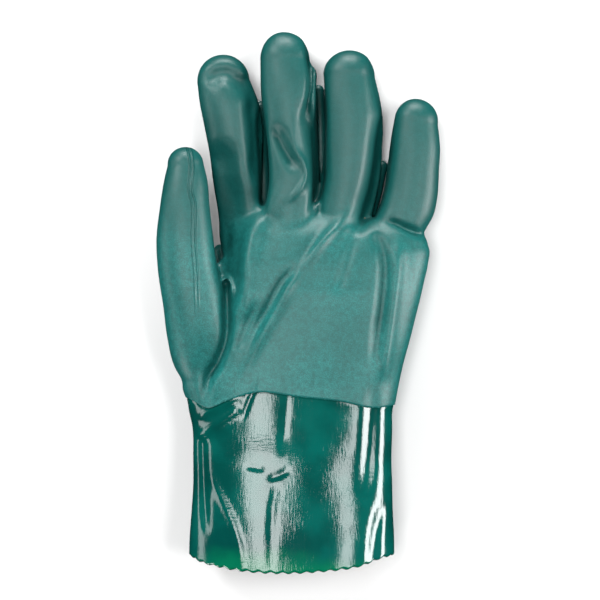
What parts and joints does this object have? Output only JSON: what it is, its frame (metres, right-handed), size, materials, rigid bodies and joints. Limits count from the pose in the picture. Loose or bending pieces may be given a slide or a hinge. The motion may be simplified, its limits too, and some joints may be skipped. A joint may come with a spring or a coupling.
{
  "type": "pvc coated work glove",
  "caption": "Left-hand dipped PVC work glove lying palm up: a matt coated hollow hand with its digits nearly straight, lapped over a glossy gauntlet cuff with a pinked mouth.",
  "frame": {"origin": "on the surface that the glove lies on, under the middle of the palm", "axes": "+Z out of the palm, +Y from the cuff's mouth to the fingertips, +X away from the thumb"},
  "size_m": [0.1416, 0.2679, 0.0444],
  "materials": {
    "hand_coat": "matt, finely sanded PVC dip over cotton jersey, teal green",
    "cuff_coat": "smooth glossy PVC dip over cotton jersey, deep teal green"
  },
  "bodies": {
    "root": {"palm": "hand_coat", "thumb": "hand_coat", "index_finger": "hand_coat", "middle_finger": "hand_coat", "ring_finger": "hand_coat", "little_finger": "hand_coat", "cuff": "cuff_coat"}
  },
  "joints": []
}
